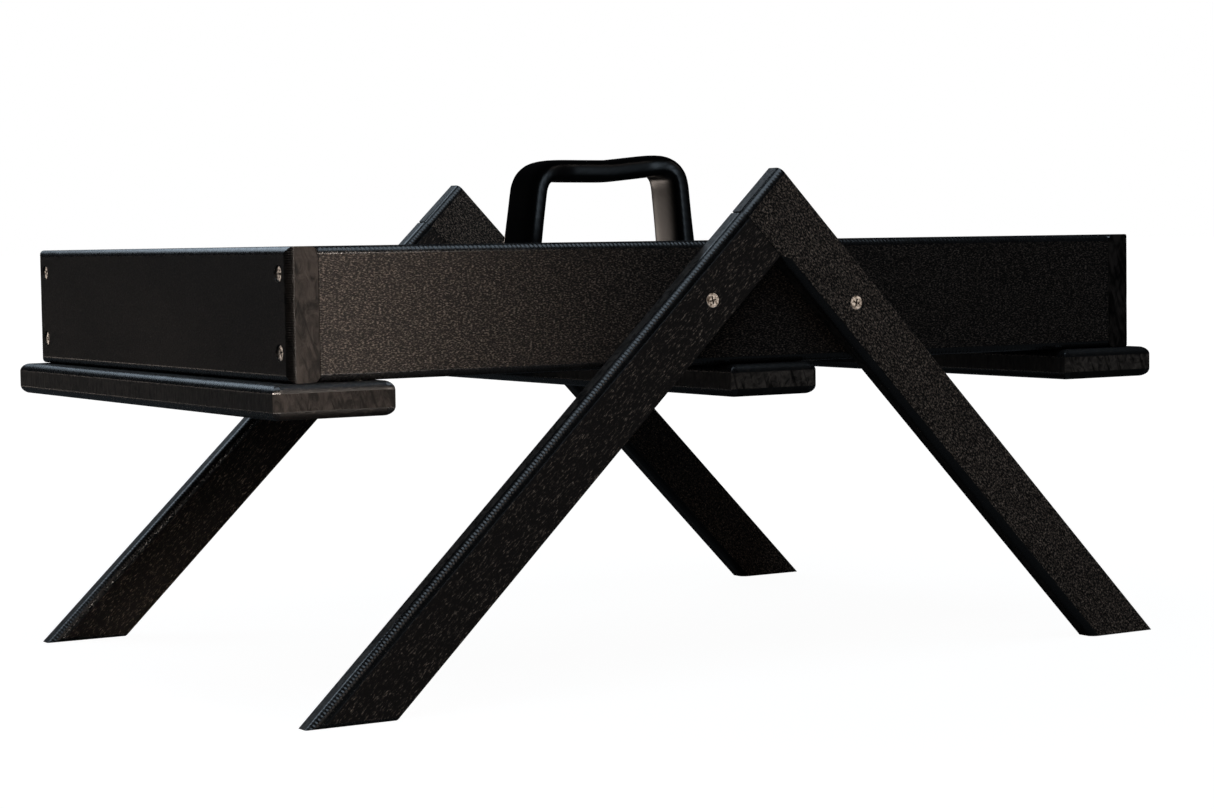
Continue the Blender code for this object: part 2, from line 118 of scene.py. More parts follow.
def add_floor():
    """A pale floor that brightens to plain white away from the object."""
    bm = bmesh.new()
    bmesh.ops.create_grid(bm, x_segments=1, y_segments=1, size=FLOOR_SIZE / 2)
    mesh = bpy.data.meshes.new("floor")
    bm.to_mesh(mesh)
    bm.free()
    floor = bpy.data.objects.new("floor", mesh)
    bpy.context.scene.collection.objects.link(floor)
    look, tree, shader = new_material("pale_floor", (FLOOR_GREY, FLOOR_GREY, FLOOR_GREY), 0.9, 0.1)
    path = tree.nodes.new("ShaderNodeLightPath")
    place = tree.nodes.new("ShaderNodeTexCoord")
    away = tree.nodes.new("ShaderNodeVectorMath")
    away.operation = "LENGTH"
    tree.links.new(place.outputs["Object"], away.inputs[0])
    glow = tree.nodes.new("ShaderNodeMapRange")
    glow.inputs["From Min"].default_value = BRIGHT_START
    glow.inputs["From Max"].default_value = BRIGHT_REACH
    glow.inputs["To Min"].default_value = BRIGHT_NEAR
    glow.inputs["To Max"].default_value = BRIGHT_FAR
    tree.links.new(away.outputs["Value"], glow.inputs["Value"])
    seen = math_node(tree, "MULTIPLY", (glow, "Result"), (path, "Is Camera Ray"))
    shader.inputs["Emission Color"].default_value = (1, 1, 1, 1)
    tree.links.new(seen.outputs[0], shader.inputs["Emission Strength"])
    mesh.materials.append(look)


def add_world():
    """White to the camera, and a dim cool room to everything else."""
    world = bpy.data.worlds.new("studio")
    bpy.context.scene.world = world
    world.use_nodes = True
    tree = world.node_tree
    dim = tree.nodes["Background"]
    dim.inputs["Color"].default_value = (*ROOM_TINT, 1)
    dim.inputs["Strength"].default_value = ROOM_GLOW
    bright = tree.nodes.new("ShaderNodeBackground")
    bright.inputs["Color"].default_value = (1, 1, 1, 1)
    path = tree.nodes.new("ShaderNodeLightPath")
    mix = tree.nodes.new("ShaderNodeMixShader")
    tree.links.new(path.outputs["Is Camera Ray"], mix.inputs["Fac"])
    tree.links.new(dim.outputs[0], mix.inputs[1])
    tree.links.new(bright.outputs[0], mix.inputs[2])
    tree.links.new(mix.outputs[0], tree.nodes["World Output"].inputs["Surface"])


def add_light(name, at, aim, size, power, colour):
    """A soft box at a point, facing another."""
    data = bpy.data.lights.new(name, "AREA")
    data.shape = "RECTANGLE"
    data.size, data.size_y = size
    data.energy = power
    data.color = colour
    light = bpy.data.objects.new(name, data)
    bpy.context.scene.collection.objects.link(light)
    light.location = at
    light.visible_camera = False
    light.rotation_mode = "QUATERNION"
    light.rotation_quaternion = (Vector(at) - Vector(aim)).to_track_quat("Z", "Y")
    return light


def light_only(light, pieces):
    """Let a light reach these pieces and nothing else."""
    lit = bpy.data.collections.new("lit_by_" + light.name)
    for piece in pieces:
        lit.objects.link(bpy.data.objects[piece])
    light.light_linking.receiver_collection = lit


def keep_from(light, pieces):
    """Let a light reach everything but these pieces."""
    unlit = bpy.data.collections.new("kept_from_" + light.name)
    for piece in pieces:
        unlit.objects.link(bpy.data.objects[piece])
    light.light_linking.receiver_collection = unlit
    for entry in unlit.collection_objects:
        entry.light_linking.link_state = "EXCLUDE"


add_floor()
add_world()
key = add_light("key_softbox", (0.04, -1.60, 0.32), (-0.48, -0.2, 0.22), (0.22, 0.34), 0.66, WARM)
key.data.spread = math.radians(28)      # a narrow beam, which fades along the front board
top = add_light("top_softbox", (-0.4, 1.2, 1.2), (0, 0, 0.25), (1.4, 0.9), 6.5, COOL)
over = add_light(
    "overhead_softbox", (-0.15, -0.6, 1.7), (-0.1, -0.1, 0.2), (1.9, 1.2), 10.0, COOL
)
left = add_light("left_softbox", (-2.2, 0.4, 1.0), (0, 0, 0.2), (1.0, 1.0), 1.2, WARM)
add_light("low_softbox", (-0.95, 1.55, 0.09), (0.05, 0, 0.3), (0.40, 0.16), 0.2, WARM)
side_light = add_light(
    "side_softbox", (-1.9, -0.92, 0.22), (-0.3, -0.2, 0.22), (0.3, 0.3), 0.3, WARM
)
fill_light = add_light("fill_softbox", (-1.0, -2.1, 1.0), (0, 0, 0.2), (1.0, 1.0), 2.2, WARM)
inner = add_light(
    "handle_softbox", (0.005, 0.160, 0.245), (0.070, 0, 0.275), (0.06, 0.08), 0.045, WARM
)
glint = add_light("glint_softbox", (0.34, -0.96, 0.38), (0.05, 0, 0.32), (0.10, 0.06), 0.55, COOL)
screw_light = add_light(
    "screw_softbox", (0.95, -1.5, 0.3), (0.02, -0.2, 0.23), (0.5, 0.5), 1.4, WARM
)
end_light = add_light(
    "end_screw_softbox", (-0.95, 1.5, 0.3), (-0.31, 0, 0.23), (0.4, 0.5), 0.9, WARM
)
grip = add_light("grip_softbox", (0.94, -0.99, 0.98), (0.01, 0, 0.32), (0.3, 0.3), 0.4, WARM)
ripple = add_light(
    "ripple_softbox", (-1.0, -0.45, 1.4), (-0.32, -0.2, 0.23), (0.4, 0.3), 4.0, WARM
)
bpy.context.scene.view_settings.view_transform = "Standard"

# ---- materials ----------------------------------------------------------------------
BLACK = (0.0042, 0.0038, 0.0035)
# The next two colours are painted glints: light flecks in the sheet's colour that stand in for
# glints off its pebbles.
PAINTED_GLINT_TAN = (0.30, 0.245, 0.205)
PAINTED_GLINT_DIM = (0.05, 0.042, 0.036)


def place_texture(tree, turn, stretch):
    """Object coordinates turned about Y, then scaled along each axis."""
    coordinates = tree.nodes.new("ShaderNodeTexCoord")
    spin = tree.nodes.new("ShaderNodeMapping")
    spin.inputs["Rotation"].default_value = (0, turn, 0)
    scale = tree.nodes.new("ShaderNodeMapping")
    scale.inputs["Scale"].default_value = stretch
    tree.links.new(coordinates.outputs["Object"], spin.inputs["Vector"])
    tree.links.new(spin.outputs["Vector"], scale.inputs["Vector"])
    return scale


def noise(tree, source, scale, detail=2.0, roughness=0.5, distortion=0.0):
    """A noise texture read at the source's vector."""
    made = tree.nodes.new("ShaderNodeTexNoise")
    made.inputs["Scale"].default_value = scale
    made.inputs["Detail"].default_value = detail
    made.inputs["Roughness"].default_value = roughness
    made.inputs["Distortion"].default_value = distortion
    tree.links.new(source.outputs["Vector"], made.inputs["Vector"])
    return made


def ramp(tree, source, output, stops):
    """A colour ramp from a list of (position, colour)."""
    made = tree.nodes.new("ShaderNodeValToRGB")
    band = made.color_ramp
    while len(band.elements) < len(stops):
        band.elements.new(0.5)
    for element, (position, colour) in zip(band.elements, stops):
        element.position = position
        element.color = (*colour, 1)
    tree.links.new(source.outputs[output], made.inputs["Fac"])
    return made


def grey(value):
    """A colour without hue."""
    return (value, value, value)


def bump(tree, shader, height, output, strength, distance, after=None):
    """A bump on the shader, laid over an earlier one where there is one."""
    made = tree.nodes.new("ShaderNodeBump")
    made.inputs["Strength"].default_value = strength
    made.inputs["Distance"].default_value = distance
    tree.links.new(height.outputs[output], made.inputs["Height"])
    if after:
        tree.links.new(after.outputs["Normal"], made.inputs["Normal"])
    tree.links.new(made.outputs["Normal"], shader.inputs["Normal"])
    return made


def sheet_face(name, turn, base=BLACK, painted_glint=PAINTED_GLINT_TAN, onset=0.52, full=0.78, depth=1.0,
               grain=(0.42, 1, 1), size=950, rough=(0.42, 0.50), specular=0.5, glint=0.12):
    """The pebbled face of moulded sheet, its pebbles drawn out along the board.

    Light flecks painted into the colour are painted glints off the pebbles. They start at the noise
    level onset and are brightest at full. The pebbles' tops are shinier than the hollows by glint.
    """
    look, tree, shader = new_material(name, base, 0.5, specular)
    space = place_texture(tree, turn, grain)
    pebble = noise(tree, space, size, 3.0, 0.6)
    broad = noise(tree, space, size / 14, 2.0)
    wide = noise(tree, space, 14, 3.0)
    # Painted glints: the flecks laid into the base colour below stand in for light glancing off the
    # pebbles.
    half_glint = Vector(base).lerp(Vector(painted_glint), 0.22)
    middle = onset + 0.45 * (full - onset)
    stops = [(0.0, base), (onset, base), (middle, half_glint), (full, painted_glint)]
    colour = ramp(tree, pebble, "Fac", stops)
    tree.links.new(colour.outputs["Color"], shader.inputs["Base Color"])
    sheen = ramp(tree, wide, "Fac", [(0.3, grey(rough[0])), (0.7, grey(rough[1]))])
    tops = ramp(tree, pebble, "Fac", [(0.35, grey(glint)), (0.65, grey(0))])
    total = math_node(tree, "ADD", (sheen, "Color"), (tops, "Color"))
    tree.links.new(total.outputs[0], shader.inputs["Roughness"])
    first = bump(tree, shader, broad, "Fac", 0.10 * depth, 0.0008)
    bump(tree, shader, pebble, "Fac", 0.8 * depth, 0.00035, first)
    return look


def routed_edge(name):
    """The smooth, slightly shiny skin a router leaves; its ripples are in the mesh."""
    look, tree, shader = new_material(name, (0.008, 0.008, 0.0085), 0.3, 0.95)
    space = place_texture(tree, 0, (1, 1, 1))
    smear = noise(tree, space, 420, 3.0)
    patches = noise(tree, space, 45, 2.0)
    stops = [(0.35, (0.006, 0.006, 0.0064)), (0.75, (0.014, 0.0138, 0.0136))]
    colour = ramp(tree, patches, "Fac", stops)
    tree.links.new(colour.outputs["Color"], shader.inputs["Base Color"])
    sheen = ramp(tree, smear, "Fac", [(0.3, grey(0.21)), (0.7, grey(0.34))])
    tree.links.new(sheen.outputs["Color"], shader.inputs["Roughness"])
    bump(tree, shader, smear, "Fac", 0.2, 0.0003)
    return look


def sawn_edge(name, turn, low=(0.006, 0.0055, 0.005), high=(0.020, 0.0175, 0.0155),
              grain=(1, 1, 0.3), specular=0.5, rough=(0.38, 0.60)):
    """A sawn and scraped edge: fine tooth marks, dull smears and dark scratches."""
    look, tree, shader = new_material(name, low, 0.5, specular)
    space = place_texture(tree, turn, grain)
    teeth = noise(tree, space, 620, 3.0, 0.65)
    smear = noise(tree, space, 170, 4.0, 0.6, 1.2)
    streak = noise(tree, place_texture(tree, turn + 0.35, (1, 1, 0.12)), 330, 2.0, 0.5, 0.3)
    colour = ramp(tree, smear, "Fac", [(0.36, low), (0.64, high)])
    lines = ramp(tree, streak, "Fac", [(0.36, grey(0.25)), (0.46, grey(1.0))])
    shade = tree.nodes.new("ShaderNodeMix")
    shade.data_type = "RGBA"
    shade.blend_type = "MULTIPLY"
    shade.inputs["Factor"].default_value = 1.0
    tree.links.new(colour.outputs["Color"], shade.inputs["A"])
    tree.links.new(lines.outputs["Color"], shade.inputs["B"])
    tree.links.new(shade.outputs["Result"], shader.inputs["Base Color"])
    sheen = ramp(tree, teeth, "Fac", [(0.3, grey(rough[0])), (0.7, grey(rough[1]))])
    tree.links.new(sheen.outputs["Color"], shader.inputs["Roughness"])
    first = bump(tree, shader, smear, "Fac", 0.35, 0.0008)
    second = bump(tree, shader, streak, "Fac", 0.4, 0.0006, first)
    bump(tree, shader, teeth, "Fac", 0.5, 0.0004, second)
    return look


def rim_edge(name):
    """The scraped corner of a board: a thin light line with dull gaps."""
    look, tree, shader = new_material(name, (0.02, 0.018, 0.016), 0.45)
    space = place_texture(tree, 0, (1, 1, 1))
    wear = noise(tree, space, 160, 3.0)
    stops = [(0.40, (0.008, 0.007, 0.006)), (0.60, (0.05, 0.042, 0.035))]
    colour = ramp(tree, wear, "Fac", stops)
    tree.links.new(colour.outputs["Color"], shader.inputs["Base Color"])
    bump(tree, shader, wear, "Fac", 0.3, 0.0003)
    return look


def handle_plastic():
    """Satin moulded plastic with a faint orange peel."""
    look, tree, shader = new_material("handle_plastic", (0.004, 0.004, 0.004), 0.34)
    space = place_texture(tree, 0, (1, 1, 1))
    peel = noise(tree, space, 330, 2.0)
    cloud = noise(tree, space, 30, 3.0)
    stops = [(0.3, (0.003, 0.003, 0.003)), (0.75, (0.007, 0.0065, 0.006))]
    colour = ramp(tree, cloud, "Fac", stops)
    tree.links.new(colour.outputs["Color"], shader.inputs["Base Color"])
    sheen = ramp(tree, cloud, "Fac", [(0.3, grey(0.30)), (0.75, grey(0.38))])
    tree.links.new(sheen.outputs["Color"], shader.inputs["Roughness"])
    bump(tree, shader, peel, "Fac", 0.08, 0.0003)
    return look


def stainless():
    """Bright screw steel with turning marks and a little grime."""
    look, tree, shader = new_material("stainless", (0.62, 0.60, 0.57), 0.3)
    shader.inputs["Metallic"].default_value = 1.0
    space = place_texture(tree, 0, (1, 1, 1))
    grime = noise(tree, space, 700, 3.0)
    stops = [(0.34, (0.20, 0.16, 0.12)), (0.5, (0.66, 0.62, 0.57)), (0.8, (0.80, 0.78, 0.74))]
    colour = ramp(tree, grime, "Fac", stops)
    tree.links.new(colour.outputs["Color"], shader.inputs["Base Color"])
    sheen = ramp(tree, grime, "Fac", [(0.3, grey(0.48)), (0.7, grey(0.30))])
    tree.links.new(sheen.outputs["Color"], shader.inputs["Roughness"])
    bump(tree, shader, grime, "Fac", 0.15, 0.0002)
    return look


# ---- fine boards --------------------------------------------------------------------
SHEET, ROUTED, SAWN, RIM, GRAIN = 0, 1, 2, 3, 4     # material slots of every board
RIM_WIDTH = 0.00022           # the narrow scraped edge left on a square corner
ARC_STEPS = 7                 # facets in a rounded corner
RIPPLE_SLICES = 5             # mesh slices in each cutter mark
SHOULDER_WIDTH, SHOULDER_DEPTH, BURR_WIDTH = 0.0015, 0.00016, 0.00028
FADE_POWER = 0.6              # how soon a cutter mark fades towards the ends of its arc
MARK_DEPTH, MARK_CHANGE = 0.65, 0.5     # a mark's usual share of the full depth, and its change
BIT_DEPTH, BIT_CHANGE = 0.55, 0.45      # the same for a corner cut across a board's end
MARK_WANDER = 1.2             # radians by which the marks stray from an even pitch
CHANGE_RATE, WANDER_RATE = 35, 90       # how fast both vary along a board, per metre
END_SLICES = (0.02, 0.08, 0.16, 0.28, 0.42)     # more slices in a rounded end, in radii
BIT_OVERLAP = 0.0008          # how far a cutter stands out past what it cuts
WELD = 1e-7                   # points of a cut this close are one
HOLE_SIDES = 32
HOLE_ABOVE = 0.001            # how far a hole's cutter stands out of the board
MOUTH_PLAY, RIM_PLAY, SHANK_PLAY, END_PLAY = 0.00025, 0.00015, 0.0002, 0.0003
RIM_DROP, CONE_LIFT = 0.0004, 0.0001    # a hole's cone starts below the head's face, and ends early


def profile(low, high, radii, shoulder=False):
    """The outline of a board's section, in its across and thick directions.

    radii holds the rounding of its corners in order (high, high), (low, high),
    (low, low), (high, low); 0 makes a square corner. Each entry of the result is
    (point, sharp corner, inward direction, ripple share, look of the face after it,
    corner number).
    """
    corners = [(high[0], high[1]), (low[0], high[1]), (low[0], low[1]), (high[0], low[1])]
    outline = []
    for index, (corner, radius) in enumerate(zip(corners, radii)):
        real = radius or RIM_WIDTH
        steps = ARC_STEPS if radius else 1
        sunk = SHOULDER_DEPTH if shoulder and index == 3 else 0.0
        toward = [(-1, -1), (1, -1), (1, 1), (-1, 1)][index]
        centre = Vector((corner[0] + toward[0] * real, corner[1] + toward[1] * real + sunk))
        sharp = Vector(corner)
        if sunk:
            edge = centre.x - SHOULDER_WIDTH
            still = Vector((0, 1))
            burr = edge - BURR_WIDTH
            outline.append((Vector((burr, corner[1] + 0.2 * sunk)), sharp, still, 0, RIM, -1))
            outline.append((Vector((burr / 2 + edge / 2, corner[1])), sharp, still, 0, RIM, -1))
            outline.append((Vector((edge, corner[1] + sunk)), sharp, still, 0, ROUTED, -1))
        for step in range(steps + 1):
            angle = math.pi / 2 * (index + step / steps)
            outward = Vector((math.cos(angle), math.sin(angle)))
            share = 0
            if radius and 0 < step < steps:
                share = math.sin(math.pi * step / steps) ** FADE_POWER
            if step < steps:
                face = ROUTED if radius else RIM
            else:
                face = (SHEET, SAWN)[index % 2]
            outline.append((centre + outward * real, sharp, -outward, share, face, index))
    return outline


def bar(origin, axes, reach, outline, pitch, depth, seed, slant=0.0, squeeze=None, fade=None):
    """Sweep an outline along a board, with ripples of one pitch on its routed corners.

    axes are the along, across and thick directions, and slant is how far a mark leans
    along the board between one face and the next. squeeze(s) gives the lowest and highest
    thickness at a place s. fade is a pair of a function and a corner's number: the function
    gives how far that corner is sharpened at s.
    """
    way, across, thick = axes
    count = int((reach[1] - reach[0]) / (pitch / RIPPLE_SLICES))
    places = [reach[0] + (reach[1] - reach[0]) * index / count for index in range(count + 1)]
    if squeeze:
        for end, turn in ((reach[0], 1), (reach[1], -1)):
            places += [end + turn * SLAT_ROUND * share for share in END_SLICES]
        places.sort()
    bm = bmesh.new()
    rings = []
    for s in places:
        ring = []
        for index, (point, sharp, inward, share, face, corner) in enumerate(outline):
            spot = point
            if share:
                drawn = draw_noise(Vector((s * CHANGE_RATE, seed, corner)))
                strength = MARK_DEPTH + MARK_CHANGE * drawn
                lean = slant * inward.angle(Vector((1, 0))) / math.pi
                phase = 2 * math.pi * (s + lean) / pitch
                stray = MARK_WANDER * draw_noise(Vector((s * WANDER_RATE, seed, 7)))
                wave = 0.5 - 0.5 * math.cos(phase + stray)
                spot = point + inward * depth * strength * share * wave
            if fade and corner == fade[1]:
                spot = spot.lerp(sharp, fade[0](s))
            if squeeze:
                low, high = squeeze(s)
                spot = Vector((spot.x, min(high, max(low, spot.y))))
            ring.append(bm.verts.new(origin + way * s + across * spot.x + thick * spot.y))
        rings.append(ring)
    size = len(outline)
    for one, two in zip(rings, rings[1:]):
        for index in range(size):
            after = (index + 1) % size
            made = bm.faces.new((one[index], one[after], two[after], two[index]))
            made.material_index = outline[index][4]
    for ring in (rings[0], rings[-1]):
        bm.faces.new(ring).material_index = GRAIN
    bmesh.ops.recalc_face_normals(bm, faces=bm.faces)
    return bm


def trim(bm, point, normal, look=GRAIN):
    """Cut away everything on the normal's side of a plane, and close the cut."""
    geometry = bm.verts[:] + bm.edges[:] + bm.faces[:]
    sliced = bmesh.ops.bisect_plane(
        bm, geom=geometry, dist=WELD, plane_co=point, plane_no=normal, clear_outer=True
    )
    rim = [item for item in sliced["geom_cut"] if isinstance(item, bmesh.types.BMEdge)]
    for face in bmesh.ops.edgeloop_fill(bm, edges=rim)["faces"]:
        face.material_index = look
    bmesh.ops.recalc_face_normals(bm, faces=bm.faces)


def router_bit(
    bm, start, end, out_a, out_b, radius, pitch, depth, seed, taper=0.0, look=ROUTED
):
    """Add the solid a round-over bit removes along a corner, ripples and all.

    out_a and out_b are the outward directions of the two faces that meet there. taper is
    the share of the radius that is lost by the end of the cut.
    """
    way = (end - start).normalized()
    length = (end - start).length
    over = BIT_OVERLAP
    count = max(2, int((length + 2 * over) / (pitch / RIPPLE_SLICES)))
    rings = []
    for index in range(count + 1):
        s = -over + (length + 2 * over) * index / count
        size = radius * (1 - taper * min(1, max(0, s / length)))
        ring = []
        for step in range(ARC_STEPS + 1):
            angle = math.pi / 2 * step / ARC_STEPS
            share = math.sin(2 * angle)
            wave = 0.5 - 0.5 * math.cos(2 * math.pi * s / pitch)
            strength = BIT_DEPTH + BIT_CHANGE * draw_noise(Vector((s * WANDER_RATE, seed, 3)))
            rad = size - depth * strength * share * wave
            u = -size + rad * math.cos(angle)
            v = -size + rad * math.sin(angle)
            ring.append((u, v))
        ring += [(-size, over), (over, over), (over, -size)]
        rings.append([bm.verts.new(start + way * s + out_a * u + out_b * v) for u, v in ring])
    faces = []
    for one, two in zip(rings, rings[1:]):
        for index in range(len(one)):
            after = (index + 1) % len(one)
            faces.append(bm.faces.new((one[index], one[after], two[after], two[index])))
    faces += [bm.faces.new(rings[0]), bm.faces.new(rings[-1])]
    for face in faces:
        face.material_index = look


def recess(bm, spot, out, sink, head, shank, length):
    """Add the hole a countersunk screw sits in; spot is the middle of its head face."""
    outline = [
        (0, sink + HOLE_ABOVE), (head + MOUTH_PLAY, sink + HOLE_ABOVE),
        (head + RIM_PLAY, -RIM_DROP),
        (shank + SHANK_PLAY, CONE_LIFT - (head - shank)), (shank + SHANK_PLAY, -length - END_PLAY),
        (0, -length - END_PLAY)
    ]
    before = len(bm.verts)
    faces_before = len(bm.faces)
    turned_mesh(bm, outline, HOLE_SIDES)
    bm.verts.ensure_lookup_table()
    bm.faces.ensure_lookup_table()
    for face in bm.faces[faces_before:]:
        face.material_index = ROUTED
    place = Matrix.Translation(spot) @ out.to_track_quat("Z", "Y").to_matrix().to_4x4()
    bmesh.ops.transform(bm, matrix=place, verts=bm.verts[before:])


def turned_mesh(bm, outline, sides):
    """Add a closed solid turned about Z; the outline is (radius, height), top down."""
    rings = []
    for radius, height in outline:
        if radius == 0:
            rings.append([bm.verts.new((0, 0, height))] * sides)
            continue
        ring = []
        for index in range(sides):
            angle = 2 * math.pi * index / sides
            ring.append(bm.verts.new((radius * math.cos(angle), radius * math.sin(angle), height)))
        rings.append(ring)
    for upper, lower in zip(rings, rings[1:]):
        for index in range(sides):
            after = (index + 1) % sides
            unique = []
            for corner in (upper[index], lower[index], lower[after], upper[after]):
                if corner not in unique:
                    unique.append(corner)
            bm.faces.new(unique)


def plain_object(name, bm, looks=()):
    """A bmesh as a scrap object, with its faces turned outward."""
    mesh = bpy.data.meshes.new(name)
    for look in looks:
        mesh.materials.append(look)
    bmesh.ops.recalc_face_normals(bm, faces=bm.faces)
    bm.to_mesh(mesh)
    bm.free()
    made = bpy.data.objects.new(name, mesh)
    bpy.context.scene.collection.objects.link(made)
    return made


def carved(bm, tools, looks):
    """The mesh left when the tools' solids are cut away."""
    body = plain_object("body", bm, looks)
    tool = plain_object("tool", tools, looks)
    step = body.modifiers.new("carve", "BOOLEAN")
    step.object = tool
    step.solver = "EXACT"
    graph = bpy.context.evaluated_depsgraph_get()
    mesh = bpy.data.meshes.new_from_object(body.evaluated_get(graph))
    left = bmesh.new()
    left.from_mesh(mesh)
    for scrap in (body, tool):
        bpy.data.objects.remove(scrap)
    return left


def finish_piece(name, bm, nodes, looks, sharp=32):
    """Turn a bmesh into a shown piece that stands for some CAD nodes.

    An edge is sharp where its faces turn by more than sharp degrees.
    """
    mesh = bpy.data.meshes.new(name)
    bm.to_mesh(mesh)
    bm.free()
    piece = bpy.data.objects.new(name, mesh)
    bpy.context.scene.collection.objects.link(piece)
    for look in looks:
        mesh.materials.append(look)
    mesh.shade_smooth()
    mesh.set_sharp_from_angle(angle=math.radians(sharp))
    even = piece.modifiers.new("even_shading", "WEIGHTED_NORMAL")
    even.keep_sharp = True
    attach(piece, "root")
    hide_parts(*nodes)
    return piece


def finish_carved(name, bm, tools, nodes, looks):
    """The same for a board that tools are cut out of."""
    finish_piece(name, carved(bm, tools, looks), nodes, looks)


# ---- sizes shared with the CAD model ------------------------------------------------
SLOPE_LEFT, SLOPE_RIGHT = math.radians(43.75), math.radians(45.65)
LEFT_WAY = Vector((-math.cos(SLOPE_LEFT), 0, -math.sin(SLOPE_LEFT)))
RIGHT_WAY = Vector((math.cos(SLOPE_RIGHT), 0, -math.sin(SLOPE_RIGHT)))
LEFT_OUT = Vector((-math.sin(SLOPE_LEFT), 0, math.cos(SLOPE_LEFT)))
RIGHT_OUT = Vector((math.sin(SLOPE_RIGHT), 0, math.cos(SLOPE_RIGHT)))
BOARD_ROUND, SLAT_ROUND, LEG_ROUND = 0.0045, 0.0050, 0.0045
LEG_WIDTH, GAP = 0.0385, 0.0003
HEAD, SHANK, SMALL_HEAD, SMALL_SHANK = 0.0047, 0.0024, 0.0040, 0.0020
APEX = Vector((0.0141, 0, 0.3132))      # the sharp tip of a frame, moved to Y = 0
SINK = {"end": 0.0010, "leg": 0.0003, "apex": 0.0024, "slat": 0.0005, "floor": 0.0003}
LENGTH = {"end": 0.0381, "leg": 0.0270, "apex": 0.0660, "slat": 0.0360, "floor": 0.0190}


FLAT = 1e-5                   # points within this of a face are on it


def head_spot(node, out):
    """The middle of a screw's head face."""
    points = [vert.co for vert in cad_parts[node].data.vertices]
    top = max(point.dot(out) for point in points)
    rim = [point for point in points if point.dot(out) > top - FLAT]
    spot = out * top
    side = out.orthogonal().normalized()
    for axis in (side, out.cross(side)):
        reach = [point.dot(axis) for point in rim]
        spot += axis * (min(reach) + max(reach)) / 2
    return spot


screw_rows = []               # (piece name, kind, outward direction, nodes)
for label, out in (("left", -X_AXIS), ("right", X_AXIS)):
    nodes = [f"end_screw_{label}_{index}" for index in range(1, 5)]
    screw_rows.append((f"end_screws_{label}", "end", out, nodes))
for label, out in (("front", -Y_AXIS), ("rear", Y_AXIS)):
    nodes = [f"leg_screw_{label}_{index}" for index in (1, 2)]
    screw_rows.append((f"leg_screws_{label}", "leg", out, nodes))
    screw_rows.append((f"apex_screws_{label}", "apex", RIGHT_OUT, [f"apex_screw_{label}"]))
for label in ("left", "middle", "right"):
    nodes = [f"slat_screw_{label}_{index}" for index in range(1, 5)]
    screw_rows.append((f"slat_screws_{label}", "slat", -Z_AXIS, nodes))
nodes = [f"floor_screw_{index}" for index in range(1, 7)]
screw_rows.append(("floor_screws", "floor", Z_AXIS, nodes))


def recesses(bm, piece, wanted=None):
    """Add the holes of one row of screws, or of some of its nodes."""
    for name, kind, out, nodes in screw_rows:
        if name == piece:
            for index, node in enumerate(nodes):
                if wanted is None or index in wanted:
                    small = kind == "floor"
                    head, shank = (SMALL_HEAD, SMALL_SHANK) if small else (HEAD, SHANK)
                    recess(bm, head_spot(node, out), out, SINK[kind], head, shank, LENGTH[kind])


def spans(node, axes):
    """A node's reach in the along, across and thick directions, for upright boards."""
    low, high = (Vector(corner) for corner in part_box(node))
    return [(low.dot(axis), high.dot(axis)) for axis in axes]


def ease(value, start, end):
    """A smooth step from 0 at start to 1 at end."""
    share = min(1.0, max(0.0, (value - start) / (end - start)))
    return share * share * (3 - 2 * share)


# ---- the boards ---------------------------------------------------------------------
routed = routed_edge("routed")
sawn = sawn_edge("sawn", 0)
rim_look = rim_edge("rim")
grain_look = sawn_edge(
    "end_grain", 0.0, (0.006, 0.0052, 0.0046), (0.052, 0.044, 0.039), (1, 1, 0.5), 0.12,
    (0.45, 0.6)
)
slat_end = sawn_edge(
    "slat_end", 0.0, (0.035, 0.030, 0.026), (0.16, 0.135, 0.115), (1, 1, 1), 0.12, (0.45, 0.6)
)
leg_edge = sawn_edge(
    "leg_edge", 0.8, (0.030, 0.0265, 0.024), (0.080, 0.070, 0.063), (1, 1, 1), 0.3, (0.42, 0.6)
)
dark_edge = sawn_edge(
    "dark_edge", 0, (0.001, 0.0009, 0.0008), (0.006, 0.005, 0.0042), (1, 1, 0.3), 0.2,
    (0.35, 0.45)
)
plain_sheet = sheet_face(
    "sheet_plain", 0, painted_glint=PAINTED_GLINT_DIM, onset=0.50, full=0.76, grain=(0.55, 1, 1), size=600
)
# The front board's copy of the sheet has brighter flecks and less shine: painted glints and painted
# light for the lit front board.
front_sheet_painted_lit = sheet_face(
    "sheet_front_painted_lit", 0, painted_glint=(0.24, 0.195, 0.162), onset=0.47, full=0.67, grain=(0.45, 1, 1),
    size=1400, specular=0.25
)
end_sheet = sheet_face(
    "sheet_end", 0, base=(0.0062, 0.0044, 0.0032), painted_glint=PAINTED_GLINT_DIM, onset=0.56, full=0.85,
    grain=(1, 0.5, 1), depth=0.6
)
# The legs are the same sheet. This copy and the next differ only to paint each leg's light: painted
# light on the right leg, painted shade on the left leg.
leg_sheet_painted_lit = sheet_face(
    "sheet_leg_painted_lit", -SLOPE_RIGHT, base=(0.012, 0.0103, 0.0092), painted_glint=(0.95, 0.74, 0.59),
    onset=0.45, full=0.74, grain=(0.6, 1, 1), size=1100, specular=0.25, depth=1.3
)
leg_sheet_painted_shade = sheet_face(
    "sheet_leg_painted_shade", SLOPE_LEFT, base=(0.040, 0.0335, 0.0298), painted_glint=(0.90, 0.70, 0.55),
    onset=0.55, full=0.76, grain=(0.30, 1, 1), size=1250, depth=0.7, specular=0.12
)


def looks(sheet, edge=sawn, end=grain_look):
    """The materials of a board, in the order of its slots."""
    return [sheet, routed, edge, rim_look, end]


